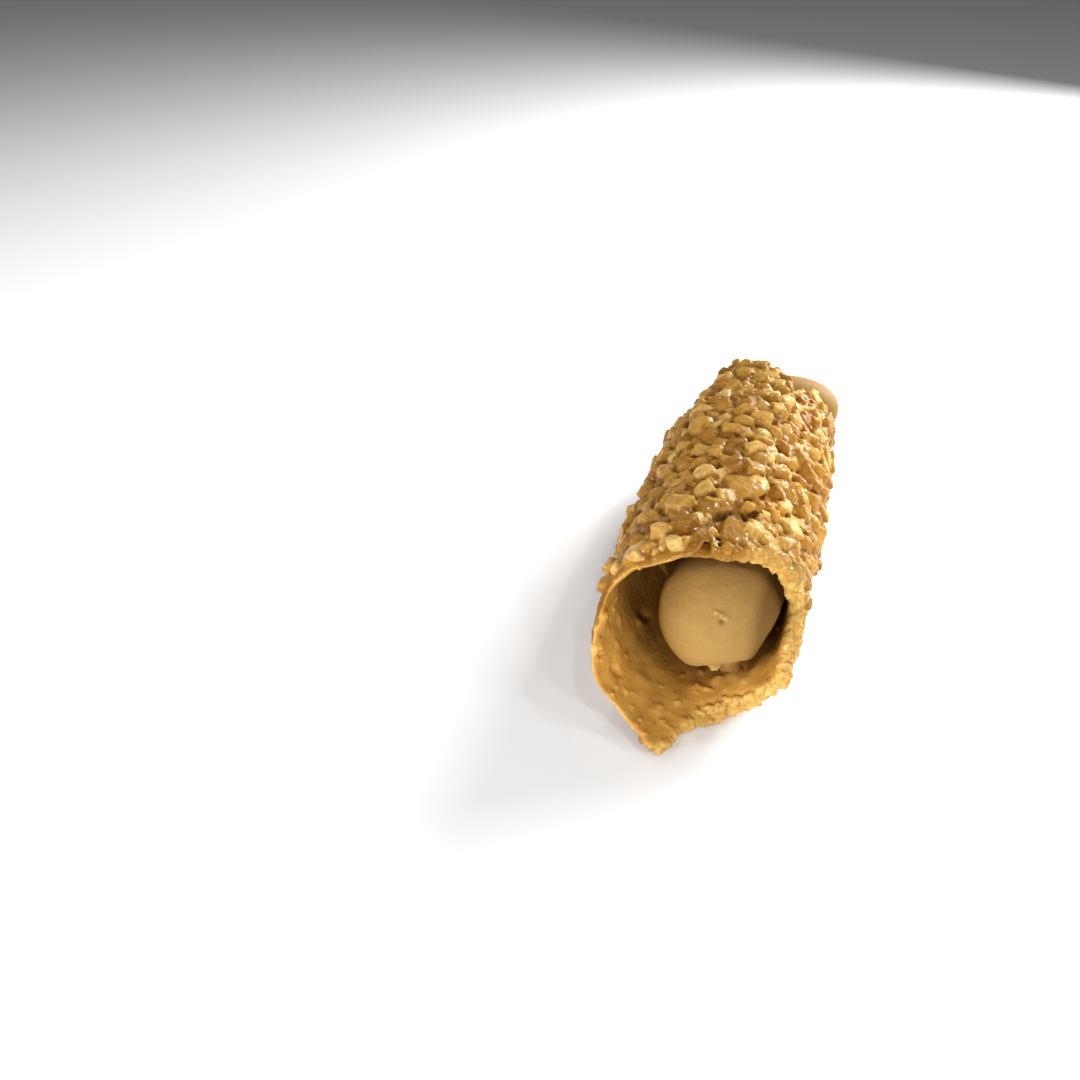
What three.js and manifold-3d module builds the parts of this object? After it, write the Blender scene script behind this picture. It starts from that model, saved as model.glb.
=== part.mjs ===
// A cannolo: a square sheet of brittle pastry rolled cornerwise into a tube, coated outside with chopped
// nuts set in caramel, and filled with cream that shows as a smooth ball in the front mouth and as a bulge
// at the back.
// Millimetres, +Z up. The tube lies along Y with its pointed front mouth towards -Y, and rests on z = 0.
import * as THREE from "three";
import { mergeVertices } from "three/addons/utils/BufferGeometryUtils.js";
import Module from "manifold-3d";

const wasm = await Module();
wasm.setup();

// ---- driving dimensions -------------------------------------------------------------------------

// Radius of the coat between its largest nuts, and sideways offset of the tube's centre, along the tube.
const TUBE_RADIUS = [
  [-62, 19], [-48, 19.2], [-36, 19.4], [-20, 19.2], [8, 19.7], [30, 18.8], [57, 17.8],
];
const TUBE_OFFSET = [[-60, 1.3], [-48, 1.1], [-38, 0.4], [-26, 0], [57, 0]];
const WALL = 3.4; // pastry, caramel and the smaller nuts
const WALL_THIN = 2.5; // the same at the left of the mouth
const THIN_SIDE = { from: -140, full: [-105, -35], to: -10, front: -42, back: -15 };
const EDGE_DROP = 0.7; // the coat's outermost row steps down by this much, which rounds the rim
const FOOT = 0.6; // how far the round underside is pressed flat
const TIP_RISE = [[-62, 1.4], [-50, 0], [38, 0], [57, 1.6]]; // the underside lifts a little at both points

// The sheet's edges: [angle round the tube from its underside, place along the tube].
// Negative angles are the left side.
const LEFT_END = -200; // the left flap passes the top and lies on the right one
const RIGHT_END = 200;
const FRONT_EDGE = [
  [-200, -30.3], [-194, -29.2], [-186, -28.3], [-180.5, -30.6], [-177, -34.6], [-175, -38.2],
  [-171, -40.5], [-157, -42.3], [-142, -41.8], [-127, -40], [-112, -42.4], [-98, -47.2],
  [-80, -52.6], [-63, -54.3], [-48, -54.8], [-30, -57], [-16, -59.3], [-10, -56.5],
  [-5, -51], [2, -46.3], [14, -43.2], [30, -42.4], [50, -42.4], [66, -43.3], [76, -43.3],
  [84, -41], [92, -36], [102, -32.2], [114, -31.2], [137, -31.3], [150, -33], [160, -34.6],
  [174, -36.7], [200, -37],
];
const BACK_EDGE = [
  [-200, 28], [-194, 33.5], [-186, 37], [-172, 38.6], [-160, 41], [-150, 40], [-144, 34.5],
  [-138, 27.5], [-125, 26], [-110, 29], [-90, 38], [-60, 46], [0, 55], [50, 52], [90, 48.5],
  [104, 47], [115, 45], [130, 41.5], [145, 37.7], [155, 33.6], [163, 31.5], [200, 31],
];
// How far the outside is set back from the inside edge round the front: negative where the coat juts out
// past it.
const FRONT_BEVEL = [
  [-200, -0.5], [-130, -0.4], [-100, 0.8], [-80, 1.8], [-50, 2], [-28, 1.6], [-16, 1], [-6, -1.5], [4, -3],
  [14, -3.6], [30, -2.8], [50, -1.2], [66, 0], [84, 1.2], [100, 0], [114, -0.6], [200, -0.6],
];
const BACK_BEVEL = 0.4;
const FLAP_FROM = 120; // where each flap starts to leave the circle, in degrees from the underside
const FLAP_FULL = 166;
const LEFT_LIFT = 1.7; // the left flap rides up by this much
const RIGHT_DROP = 0.8; // and the right one sinks by this much, so that the two are stuck together
const INNER_RIPPLE = 0.25; // low relief of the caramel inside
const RIPPLE_ROUND = { pace: 0.33, start: 0.6 }; // its waves round the tube, in radians a millimetre
const RIPPLE_ALONG = { pace: 0.21, sway: 0.4, swayPace: 0.2 }; // and along it, swaying a little
const BORE_RADIUS = 16;
const SHEET_GRID = { columns: 26, rowsOut: 14, rowsIn: 6 }; // of one half of the sheet
const HALVES_LAP = 5; // degrees by which each half passes the underside, where the two are joined

// The cream: the front ball, then a log that fills the tube, then the bulge at the back.
const CREAM_GAP = 0.45;
const TRIM_SLACK = 0.1; // the shell is trimmed to a little less than the gap round the cream
const FRONT_BALL = { x: 3.5, y: -33.5, z: 17.7, radius: 12.1 };
const NECK = [-26, -8]; // behind the ball the cream swells from here to there until it fills the tube
const LOG_END = { from: 40, length: 9 }; // the log's own rounded end
const BACK_BULGE = { x: 6.9, y: 44.6, z: 24.4, half: [12.2, 7.8, 7.6] }; // over the right flap's edge
const CREAM_GRID = { segments: 32, rings: 6, bodySteps: 10 };
const BULGE_GRID = [24, 14];

// Chopped nuts. The largest are separate chips fused to the coat.
const CHIPS = 172;
const CHIP_LENGTH = [3.0, 5.2];
const CHIP_WIDTH = [0.62, 0.86]; // share of the length
const CHIP_HEIGHT = [0.5, 0.78];
const CHIP_CORNER = [0.5, 1]; // how far each corner reaches, as a share of the block's
const CHIP_TILT = 0.5; // radians, the most a chip leans one way or the other in all
const CHIP_SINK = 0.09; // share of the length
const CHIP_STRAY = { angle: 9, share: 0.04 }; // how far a chip strays from its even place
const CHIP_MARGIN = { front: 3, back: 2.4, left: 3, right: 4 }; // millimetres, then degrees
const RIM_CHIP_LENGTH = [2.8, 4.2];
const RIM_CHIP_INSET = [0.7, 1.9];
const RIM_CHIP_SINK = 0.7; // besides a share of the length
const RIM_CHIP_SINK_SHARE = 0.12;
const RIM_CHIP_STEP = 4.6;
const RIM_STEP_SPREAD = [0.8, 1.25];
const RIM_STEEPEST = 2.2; // no rim chips where the edge runs along the tube more steeply than this
const COVERED = { angle: 2, place: 1.5 }; // margins of the place where the left flap hides the right one

// Everything below the floor is cut away with a block of this size.
const TABLE = { width: 120, length: 200, depth: 20 };

// The finished outline is centred on the origin by this shift.
const CENTRE = { x: 0, y: 2 };

// ---- helpers ------------------------------------------------------------------------------------

const radians = THREE.MathUtils.degToRad;
const clamp01 = (t) => Math.min(1, Math.max(0, t));
const smooth = (from, to, t) => {
  const s = clamp01((t - from) / (to - from));
  return s * s * (3 - 2 * s);
};
const mix = (a, b, t) => a + (b - a) * t;
const fraction = (t) => t - Math.floor(t);

// A repeatable number from 0 to 1 for a whole number and a channel.
function draw(index, channel) {
  return fraction(Math.sin(index * 12.9898 + channel * 78.233) * 43758.5453);
}

// A smooth curve through points, without overshoot: a monotone cubic.
function through(points) {
  const n = points.length;
  const slope = points.slice(1).map((p, i) => (p[1] - points[i][1]) / (p[0] - points[i][0]));
  const tangent = points.map((_, i) => {
    if (i === 0) return slope[0];
    if (i === n - 1) return slope[n - 2];
    const a = slope[i - 1];
    const b = slope[i];
    return a * b <= 0 ? 0 : (2 * a * b) / (a + b);
  });
  return (x) => {
    if (x <= points[0][0]) return points[0][1];
    if (x >= points[n - 1][0]) return points[n - 1][1];
    let i = 0;
    while (points[i + 1][0] < x) i += 1;
    const width = points[i + 1][0] - points[i][0];
    const t = (x - points[i][0]) / width;
    const a = points[i][1];
    const b = points[i + 1][1];
    return (
      a * (1 + 2 * t) * (1 - t) ** 2 + b * t * t * (3 - 2 * t)
      + width * t * (1 - t) * (tangent[i] * (1 - t) - tangent[i + 1] * t)
    );
  };
}

// ---- the rolled sheet ---------------------------------------------------------------------------

const tubeRadius = through(TUBE_RADIUS);
const tubeOffset = through(TUBE_OFFSET);
const tipRise = through(TIP_RISE);
const frontEdge = through(FRONT_EDGE);
const backEdge = through(BACK_EDGE);
const frontBevel = through(FRONT_BEVEL);

const tubeHeight = (y) => tubeRadius(y) - FOOT + tipRise(y);

function flapShift(angle) {
  if (angle < 0) return LEFT_LIFT * smooth(FLAP_FROM, FLAP_FULL, -angle);
  return -RIGHT_DROP * smooth(FLAP_FROM, FLAP_FULL, angle);
}

// A point at an angle and place, out from the caramel surface (negative is into the wall).
function onTube(angle, y, out) {
  const r = tubeRadius(y) + flapShift(angle) + out;
  const a = radians(angle);
  return new THREE.Vector3(tubeOffset(y) + r * Math.sin(a), y, tubeHeight(y) - r * Math.cos(a));
}

// The wall is thinner at the left of the mouth.
function wallAt(angle, y) {
  const towardsTop = 1 - smooth(THIN_SIDE.full[1], THIN_SIDE.to, angle);
  const side = smooth(THIN_SIDE.from, THIN_SIDE.full[0], angle) * towardsTop;
  const place = 1 - smooth(THIN_SIDE.front, THIN_SIDE.back, y);
  return mix(WALL, WALL_THIN, side * place);
}

function innerRelief(angle, y) {
  const s = radians(angle) * BORE_RADIUS;
  const sway = RIPPLE_ALONG.sway * Math.sin(s * RIPPLE_ALONG.swayPace);
  const round = Math.sin(s * RIPPLE_ROUND.pace + RIPPLE_ROUND.start);
  return INNER_RIPPLE * round * Math.sin(y * RIPPLE_ALONG.pace + sway);
}

// One column of the sheet as a closed loop: the outside from front to back, then the inside back again.
function sheetLoop(angle, rowsOut, rowsIn) {
  const from = frontEdge(angle);
  const to = backEdge(angle);
  const loop = [];
  for (let i = 0; i <= rowsOut; i += 1) {
    const y = mix(from + frontBevel(angle), to, i / rowsOut);
    loop.push(onTube(angle, y, i === 0 || i === rowsOut ? -EDGE_DROP : 0));
  }
  for (let i = rowsIn; i >= 0; i -= 1) {
    const y = mix(from, to - BACK_BEVEL, i / rowsIn);
    loop.push(onTube(angle, y, -wallAt(angle, y) + innerRelief(angle, y)));
  }
  return loop;
}

// ---- solids -------------------------------------------------------------------------------------

function solidOf(geometry) {
  const bare = geometry.index ? geometry.toNonIndexed() : geometry.clone();
  bare.deleteAttribute("normal");
  bare.deleteAttribute("uv");
  const merged = mergeVertices(bare, 1e-4);
  return new wasm.Manifold(new wasm.Mesh({
    numProp: 3,
    vertProperties: merged.attributes.position.array,
    triVerts: new Uint32Array(merged.index.array),
  }));
}

// The largest of a solid's closed skins: sealed pockets are filled and loose scraps dropped.
function mainBody(solid) {
  return solid.decompose().reduce((most, body) => (body.volume() > most.volume() ? body : most));
}

function geometryOf(solid) {
  const mesh = solid.getMesh();
  const geometry = new THREE.BufferGeometry();
  geometry.setAttribute("position", new THREE.BufferAttribute(new Float32Array(mesh.vertProperties), 3));
  geometry.setIndex(new THREE.BufferAttribute(new Uint32Array(mesh.triVerts), 1));
  geometry.computeVertexNormals();
  return geometry;
}

function geometryFrom(points, faces) {
  const geometry = new THREE.BufferGeometry();
  geometry.setFromPoints(points);
  geometry.setIndex(faces);
  return geometry;
}

// Joins equal closed loops into a skin. The first and last are closed with strips, or run to a point each.
function loft(loops, { front = null, back = null } = {}) {
  const size = loops[0].length;
  const points = loops.flat();
  const faces = [];
  const quad = (a, b, c, d) => faces.push(a, b, c, a, c, d);
  for (let k = 0; k + 1 < loops.length; k += 1) {
    for (let i = 0; i < size; i += 1) {
      const j = (i + 1) % size;
      quad(k * size + i, k * size + j, (k + 1) * size + j, (k + 1) * size + i);
    }
  }
  const last = (loops.length - 1) * size;
  const capWithPoint = (start, point, turned) => {
    points.push(point);
    for (let i = 0; i < size; i += 1) {
      const edge = [start + i, start + ((i + 1) % size)];
      faces.push(...(turned ? [edge[0], edge[1]] : [edge[1], edge[0]]), points.length - 1);
    }
  };
  if (front) capWithPoint(0, front, false);
  if (back) capWithPoint(last, back, true);
  return geometryFrom(points, faces);
}

// The end of a sheet: its outside row joined to its inside row.
function closeSheetEnds(geometry, loops, outCount) {
  const size = loops[0].length;
  const faces = Array.from(geometry.index.array);
  const cap = (start, turned) => {
    let a = 0; // runs along the outside
    let b = size - 1; // runs along the inside
    const add = (p, q, r) => faces.push(...(turned ? [p, r, q] : [p, q, r]));
    while (a < outCount - 1 || b > outCount) {
      const outShare = (a + 1) / (outCount - 1);
      const inShare = (size - b) / (size - 1 - outCount);
      if (b === outCount || (a < outCount - 1 && outShare <= inShare)) {
        add(start + a, start + b, start + a + 1);
        a += 1;
      } else {
        add(start + a, start + b, start + b - 1);
        b -= 1;
      }
    }
  };
  cap(0, false);
  cap((loops.length - 1) * size, true);
  return geometryFrom(loops.flat(), faces);
}

function halfSheet(fromAngle, toAngle) {
  const { columns, rowsOut, rowsIn } = SHEET_GRID;
  const loops = [];
  for (let k = 0; k <= columns; k += 1) {
    loops.push(sheetLoop(mix(fromAngle, toAngle, k / columns), rowsOut, rowsIn));
  }
  return solidOf(closeSheetEnds(loft(loops), loops, rowsOut + 1));
}

// ---- nuts ---------------------------------------------------------------------------------------

// A chopped nut: a block with uneven corners, longest along its own X, flattest along its own Z.
function chipGeometry(index, length) {
  const width = length * mix(...CHIP_WIDTH, draw(index, 2));
  const height = length * mix(...CHIP_HEIGHT, draw(index, 3));
  const geometry = new THREE.BoxGeometry(length, width, height);
  const position = geometry.attributes.position;
  for (let i = 0; i < position.count; i += 1) {
    const [x, y, z] = [position.getX(i), position.getY(i), position.getZ(i)];
    // The three faces that meet at a corner move it alike, so the block stays closed.
    const corner = 20 + (x > 0 ? 1 : 0) + (y > 0 ? 2 : 0) + (z > 0 ? 4 : 0);
    const reach = (channel) => mix(...CHIP_CORNER, draw(index, corner + channel));
    position.setXYZ(i, x * reach(0), y * reach(10), z * reach(20));
  }
  return geometry;
}

// Lays a chip on the coat: its Z out from the surface, turned by chance and slightly tilted.
function layChip(index, angle, y, length, sink) {
  const at = onTube(angle, y, 0);
  const outward = onTube(angle, y, 1).sub(at).normalize();
  const along = onTube(angle, y + 1, 0).sub(at).normalize();
  const across = new THREE.Vector3().crossVectors(outward, along);
  const basis = new THREE.Matrix4().makeBasis(along, across, outward);
  const tilt = (channel) => CHIP_TILT * (draw(index, channel) - 0.5);
  const turn = new THREE.Matrix4().makeRotationFromEuler(
    new THREE.Euler(tilt(5), tilt(6), Math.PI * 2 * draw(index, 4), "XYZ"),
  );
  const place = new THREE.Matrix4().makeTranslation(at.addScaledVector(outward, -sink));
  return chipGeometry(index, length).applyMatrix4(place.multiply(basis).multiply(turn));
}

// True where the left flap lies over the right one, so that the right one's coat is hidden.
function isCovered(angle, y) {
  const beneath = angle > 360 + LEFT_END - COVERED.angle;
  return beneath && y > frontEdge(angle - 360) - COVERED.place;
}

function coatChips() {
  const chips = [];
  const step = [0.7548776662466927, 0.5698402909980532]; // an even two-way spread
  for (let i = 1; chips.length < CHIPS; i += 1) {
    const ends = [LEFT_END + CHIP_MARGIN.left, RIGHT_END - CHIP_MARGIN.right];
    const evenAngle = mix(...ends, fraction(i * step[0]));
    const angle = evenAngle + CHIP_STRAY.angle * (draw(i, 8) - 0.5);
    const share = clamp01(fraction(i * step[1]) + CHIP_STRAY.share * (draw(i, 9) - 0.5));
    const y = mix(frontEdge(angle) + CHIP_MARGIN.front, backEdge(angle) - CHIP_MARGIN.back, share);
    if (isCovered(angle, y)) continue;
    const length = mix(...CHIP_LENGTH, draw(i, 1) ** 1.5);
    chips.push(layChip(i, angle, y, length, CHIP_SINK * length));
  }
  return chips;
}

// Chips along an edge of the sheet, so that the rim is as nutty as the coat.
function rimChips(edge, inward, seed) {
  const chips = [];
  let angle = LEFT_END + CHIP_MARGIN.right;
  for (let i = 0; angle < RIGHT_END - CHIP_MARGIN.right; i += 1) {
    const y = edge(angle) + inward * mix(...RIM_CHIP_INSET, draw(seed + i, 7));
    const slant = (edge(angle + 1) - edge(angle - 1)) / 2 / radians(1) / tubeRadius(y);
    const steep = Math.abs(slant) > RIM_STEEPEST;
    if (!isCovered(angle, y) && !steep) {
      const length = mix(...RIM_CHIP_LENGTH, draw(seed + i, 1));
      chips.push(layChip(seed + i, angle, y, length, RIM_CHIP_SINK + RIM_CHIP_SINK_SHARE * length));
    }
    const stepLength = RIM_CHIP_STEP * mix(...RIM_STEP_SPREAD, draw(seed + i, 8));
    angle += THREE.MathUtils.radToDeg(stepLength / tubeRadius(y) / Math.sqrt(1 + slant * slant));
  }
  return chips;
}

function makeShell() {
  const left = halfSheet(LEFT_END, HALVES_LAP);
  const right = halfSheet(-HALVES_LAP, RIGHT_END);
  const frontRim = (angle) => frontEdge(angle) + frontBevel(angle);
  const chips = [...coatChips(), ...rimChips(frontRim, 1, 1000), ...rimChips(backEdge, -1, 2000)];
  const coated = wasm.Manifold.union([left, right, ...chips.map(solidOf)]);
  const { width, length, depth } = TABLE;
  const table = new THREE.BoxGeometry(width, length, depth).translate(0, 0, -depth / 2);
  return mainBody(coated.subtract(solidOf(table)).subtract(makeCream(CREAM_GAP - TRIM_SLACK)));
}

// ---- cream --------------------------------------------------------------------------------------

// Centre and radius of the cream along the tube: the front ball runs into a log with a round end.
function creamSection(y, grow) {
  const bore = tubeRadius(y) - WALL - CREAM_GAP - INNER_RIPPLE;
  const toLog = smooth(...NECK, y);
  const before = Math.max(0, FRONT_BALL.y - y) / FRONT_BALL.radius;
  const after = Math.max(0, y - LOG_END.from) / LOG_END.length;
  const dome = Math.sqrt(1 - before ** 2) * Math.sqrt(1 - after ** 2);
  return {
    x: mix(FRONT_BALL.x, tubeOffset(y), toLog),
    z: mix(FRONT_BALL.z, tubeHeight(y), toLog),
    radius: mix(FRONT_BALL.radius, bore, toLog) * dome + grow,
  };
}

function makeCream(grow = 0) {
  const { segments, rings, bodySteps } = CREAM_GRID;
  const stations = [];
  const dome = (i) => Math.sin((i / rings) * Math.PI / 2);
  for (let i = rings - 1; i > 0; i -= 1) stations.push(FRONT_BALL.y - FRONT_BALL.radius * dome(i));
  for (let i = 0; i <= bodySteps; i += 1) stations.push(mix(FRONT_BALL.y, LOG_END.from, i / bodySteps));
  for (let i = 1; i < rings; i += 1) stations.push(LOG_END.from + LOG_END.length * dome(i));
  const loops = stations.map((y) => {
    const section = creamSection(y, grow);
    const loop = [];
    for (let k = 0; k < segments; k += 1) {
      const a = (k / segments) * Math.PI * 2;
      loop.push(new THREE.Vector3(
        section.x - section.radius * Math.sin(a), y, section.z - section.radius * Math.cos(a),
      ));
    }
    return loop;
  });
  const front = new THREE.Vector3(FRONT_BALL.x, FRONT_BALL.y - FRONT_BALL.radius - grow, FRONT_BALL.z);
  const end = LOG_END.from + LOG_END.length;
  const back = new THREE.Vector3(tubeOffset(end), end + grow, tubeHeight(end));
  const bulge = new THREE.SphereGeometry(1, ...BULGE_GRID);
  bulge.scale(...BACK_BULGE.half.map((half) => half + grow));
  bulge.translate(BACK_BULGE.x, BACK_BULGE.y, BACK_BULGE.z);
  return solidOf(loft(loops, { front, back })).add(solidOf(bulge));
}

// ---- the object ---------------------------------------------------------------------------------

function named(name, solid, color, roughness) {
  const mesh = new THREE.Mesh(
    geometryOf(solid),
    new THREE.MeshStandardMaterial({ color, roughness, metalness: 0 }),
  );
  mesh.name = name;
  return mesh;
}

const cannolo = new THREE.Group();
cannolo.add(named("shell", makeShell(), 0xb98745, 0.45));
cannolo.add(named("cream", makeCream(), 0xc49f63, 0.6));
cannolo.position.set(CENTRE.x, CENTRE.y, 0);

export default cannolo;
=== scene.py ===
"""A cannolo of rolled pastry, coated with chopped nuts in caramel and filled with cream."""

import math
import random

import bpy
import numpy as np
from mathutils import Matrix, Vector, noise
from mathutils.bvhtree import BVHTree


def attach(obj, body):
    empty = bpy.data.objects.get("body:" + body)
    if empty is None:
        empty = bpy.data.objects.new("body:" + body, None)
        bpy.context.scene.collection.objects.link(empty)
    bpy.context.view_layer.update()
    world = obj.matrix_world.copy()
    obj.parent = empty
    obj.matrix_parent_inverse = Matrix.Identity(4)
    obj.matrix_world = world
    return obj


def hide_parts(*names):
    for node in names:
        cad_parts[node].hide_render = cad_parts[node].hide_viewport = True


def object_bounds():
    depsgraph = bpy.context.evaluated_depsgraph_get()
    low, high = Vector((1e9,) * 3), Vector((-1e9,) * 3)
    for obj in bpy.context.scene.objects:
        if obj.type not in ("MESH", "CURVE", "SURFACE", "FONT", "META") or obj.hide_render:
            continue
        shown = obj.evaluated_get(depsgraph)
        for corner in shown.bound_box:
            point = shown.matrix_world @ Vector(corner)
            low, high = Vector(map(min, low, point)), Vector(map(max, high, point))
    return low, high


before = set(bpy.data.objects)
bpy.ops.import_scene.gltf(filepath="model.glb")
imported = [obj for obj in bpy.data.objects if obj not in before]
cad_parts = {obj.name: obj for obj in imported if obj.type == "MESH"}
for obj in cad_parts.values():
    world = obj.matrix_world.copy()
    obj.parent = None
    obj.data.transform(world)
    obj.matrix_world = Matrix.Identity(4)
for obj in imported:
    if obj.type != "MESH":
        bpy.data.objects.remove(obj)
cad_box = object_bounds()

MM = 0.001  # sizes below are in millimetres, meshes in metres

# ---- sizes of the roll, as in the part ----

TUBE_RADIUS = [(-62, 19), (-48, 19.2), (-36, 19.4), (-20, 19.2), (8, 19.7), (30, 18.8), (57, 17.8)]
TUBE_OFFSET = [(-60, 1.3), (-48, 1.1), (-38, 0.4), (-26, 0), (57, 0)]
WALL = 3.4
WALL_THIN = 2.5
THIN_FROM, THIN_FULL_FROM, THIN_FULL_TO, THIN_TO = -140, -105, -35, -10
THIN_FRONT, THIN_BACK = -42, -15
FOOT = 0.6
TIP_RISE = [(-62, 1.4), (-50, 0), (38, 0), (57, 1.6)]
LEFT_END, RIGHT_END = -200, 200
FRONT_EDGE = [
    (-200, -30.3), (-194, -29.2), (-186, -28.3), (-180.5, -30.6), (-177, -34.6), (-175, -38.2),
    (-171, -40.5), (-157, -42.3), (-142, -41.8), (-127, -40), (-112, -42.4), (-98, -47.2),
    (-80, -52.6), (-63, -54.3), (-48, -54.8), (-30, -57), (-16, -59.3), (-10, -56.5), (-5, -51),
    (2, -46.3), (14, -43.2), (30, -42.4), (50, -42.4), (66, -43.3), (76, -43.3), (84, -41),
    (92, -36), (102, -32.2), (114, -31.2), (137, -31.3), (150, -33), (160, -34.6), (174, -36.7),
    (200, -37),
]
BACK_EDGE = [
    (-200, 28), (-194, 33.5), (-186, 37), (-172, 38.6), (-160, 41), (-150, 40), (-144, 34.5),
    (-138, 27.5), (-125, 26), (-110, 29), (-90, 38), (-60, 46), (0, 55), (50, 52), (90, 48.5),
    (104, 47), (115, 45), (130, 41.5), (145, 37.7), (155, 33.6), (163, 31.5), (200, 31),
]
FRONT_BEVEL = [
    (-200, -0.5), (-130, -0.4), (-100, 0.8), (-80, 1.8), (-50, 2), (-28, 1.6), (-16, 1),
    (-6, -1.5), (4, -3), (14, -3.6), (30, -2.8), (50, -1.2), (66, 0), (84, 1.2), (100, 0),
    (114, -0.6), (200, -0.6),
]
BACK_BEVEL = 0.4
FLAP_FROM, FLAP_FULL = 120, 166
LEFT_LIFT, RIGHT_DROP = 1.7, 0.8
CENTRE_Y = 2

BALL = {"x": 3.5, "y": -33.5, "z": 17.7, "radius": 12.1}
NECK_FROM, NECK_TO = -26, -8
LOG_FROM, LOG_LENGTH = 40, 9
BULGE = {"x": 6.9, "y": 44.6, "z": 24.4, "half": (12.2, 7.8, 7.6)}
CREAM_GAP = 0.7  # wider than in the part, for the coat's uneven inside

# ---- sizes of the coat ----

CARAMEL_LEVEL = -0.95  # the caramel between the nuts, out from the coat's mean surface
COLUMNS, ROWS, RIM_ROWS = 262, 142, 5  # faces across, along and over the rims of the sheet
VOXEL = 0.31  # the finest detail of the melted coat
SOFTENING = 4  # how often the melted coat is smoothed
CRUMBLE = 0.13  # height of its finest relief
CUT_Y = -11  # where the coat is cut in two, behind the front ball
MOST_TRIANGLES = 196000  # in each half of it
RIM_ROUND = 0.55  # how far the broken rim swells past its edge
RIM_REACH = 1.1  # how wide its rounding is
ARC = 18.8  # the radius on which distances round the roll are measured
BORE_ARC = 16  # the same inside the roll
LIP_SPREAD = 0.7  # how far the thin left lip leans out
LIP_FLARE = 1.0  # how much thinner it gets at its edge
LEFT_RAISE, RIGHT_RAISE = 0.65, 0.6  # how far the front edge stands up on each side
SINK = 0.9  # how far the right flap dips in front of the left one
SIDE_THINNING = 1.6  # how much thinner the left flap's side edge gets
EDGE_REACH = 1.1  # how far the coat runs past the sheet's edge over the cream
PROUD, HELD = 0.5, 0.3  # how far nuts may pass the roll's box, and what is kept of the rest
FLAP_EDGE_SHADE = 0.3  # how pale the nuts by the left flap's edge stay: painted darker, as the shade by that edge
# Nicks in the front edge: angle, depth and half width in degrees.
NICKS = [
    (149.5, 4.2, 2.9), (25, 1.5, 2.4), (66, 1.3, 2.6), (-24, 0.7, 2.0), (8, 0.7, 1.6),
    (92, 0.9, 2.0),
]


# ---- curves ----

def through(points):
    """A smooth curve through points, without overshoot."""
    xs, ys = np.array(points, float).T
    width = np.diff(xs)
    slope = np.diff(ys) / width
    tangent = np.concatenate([slope[:1], np.zeros(len(xs) - 2), slope[-1:]])
    before, after = slope[:-1], slope[1:]
    level = before * after <= 0
    total = np.where(level, 1, before + after)
    tangent[1:-1] = np.where(level, 0, 2 * before * after / total)

    def curve(x):
        x = np.clip(np.asarray(x, float), xs[0], xs[-1])
        i = np.clip(np.searchsorted(xs, x, side="right") - 1, 0, len(xs) - 2)
        t = (x - xs[i]) / width[i]
        ends = ys[i] * (1 + 2 * t) * (1 - t) ** 2 + ys[i + 1] * t * t * (3 - 2 * t)
        return ends + width[i] * t * (1 - t) * (tangent[i] * (1 - t) - tangent[i + 1] * t)

    return curve


def smooth(start, stop, t):
    s = np.clip((np.asarray(t, float) - start) / (stop - start), 0, 1)
    return s * s * (3 - 2 * s)


def mix(a, b, t):
    return a + (b - a) * t


tube_radius = through(TUBE_RADIUS)
tube_offset = through(TUBE_OFFSET)
tip_rise = through(TIP_RISE)
front_edge = through(FRONT_EDGE)
back_edge = through(BACK_EDGE)
front_bevel = through(FRONT_BEVEL)


def tube_height(y):
    return tube_radius(y) - FOOT + tip_rise(y)


def flap_shift(angle):
    left = LEFT_LIFT * smooth(FLAP_FROM, FLAP_FULL, -angle)
    right = RIGHT_DROP * smooth(FLAP_FROM, FLAP_FULL, angle)
    return left - right


def lip_spread(angle, y):
    """How far the left lip leans out over the last stretch before the mouth."""
    left = smooth(-138, -112, angle) * (1 - smooth(-84, -58, angle))
    return LIP_SPREAD * left * smooth(16, 5, y - front_edge(angle))


def mouth_edge(angle):
    """The coat's front edge, which reaches past the sheet over the cream."""
    reach = smooth(100, 122, angle) + smooth(-134, -150, angle) * (1 - smooth(-178, -184, angle))
    reach += smooth(-14, -6, angle) * (1 - smooth(14, 26, angle))
    reach += 0.8 * smooth(-13, -7, angle) * (1 - smooth(3, 10, angle))
    return front_edge(angle) - EDGE_REACH * reach


def on_tube(angle, y, out):
    """Points at angles round the roll, places along it and heights over the coat's surface."""
    angle, y, out = np.broadcast_arrays(*(np.asarray(v, float) for v in (angle, y, out)))
    r = tube_radius(y) + flap_shift(angle) + lip_spread(angle, y) + out
    a = np.radians(angle)
    x = tube_offset(y) + r * np.sin(a)
    z = tube_height(y) - r * np.cos(a)
    return np.stack([x, y + CENTRE_Y, z], axis=-1)


def wall_at(angle, y):
    side = smooth(THIN_FROM, THIN_FULL_FROM, angle) * (1 - smooth(THIN_FULL_TO, THIN_TO, angle))
    return mix(WALL, WALL_THIN, side * (1 - smooth(THIN_FRONT, THIN_BACK, y)))


def grain(points, size, seed, octaves=1):
    """Soft noise from -1 to 1 at points, with features of a size in millimetres."""
    shift = Vector((seed * 7.31, seed * 3.17, seed * 5.93))
    if octaves == 1:
        return np.array([noise.noise(Vector(p) / size + shift) for p in points])
    return np.array([
        noise.fractal(Vector(p) / size + shift, 0.9, 2.1, octaves) for p in points
    ])


# ---- mesh work ----

def deselect_all():
    if bpy.context.object and bpy.context.object.mode != "OBJECT":
        bpy.ops.object.mode_set(mode="OBJECT")
    bpy.ops.object.select_all(action="DESELECT")


def make_active(piece):
    deselect_all()
    piece.select_set(True)
    bpy.context.view_layer.objects.active = piece


def set_mode(mode):
    bpy.ops.object.mode_set(mode=mode)


def edit(piece):
    """Edit mode, with all of a piece selected."""
    make_active(piece)
    set_mode("EDIT")
    bpy.ops.mesh.select_all(action="SELECT")


def coordinates(piece, kind="co"):
    values = np.empty(len(piece.data.vertices) * 3)
    piece.data.vertices.foreach_get(kind, values)
    return values.reshape(-1, 3)


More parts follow.
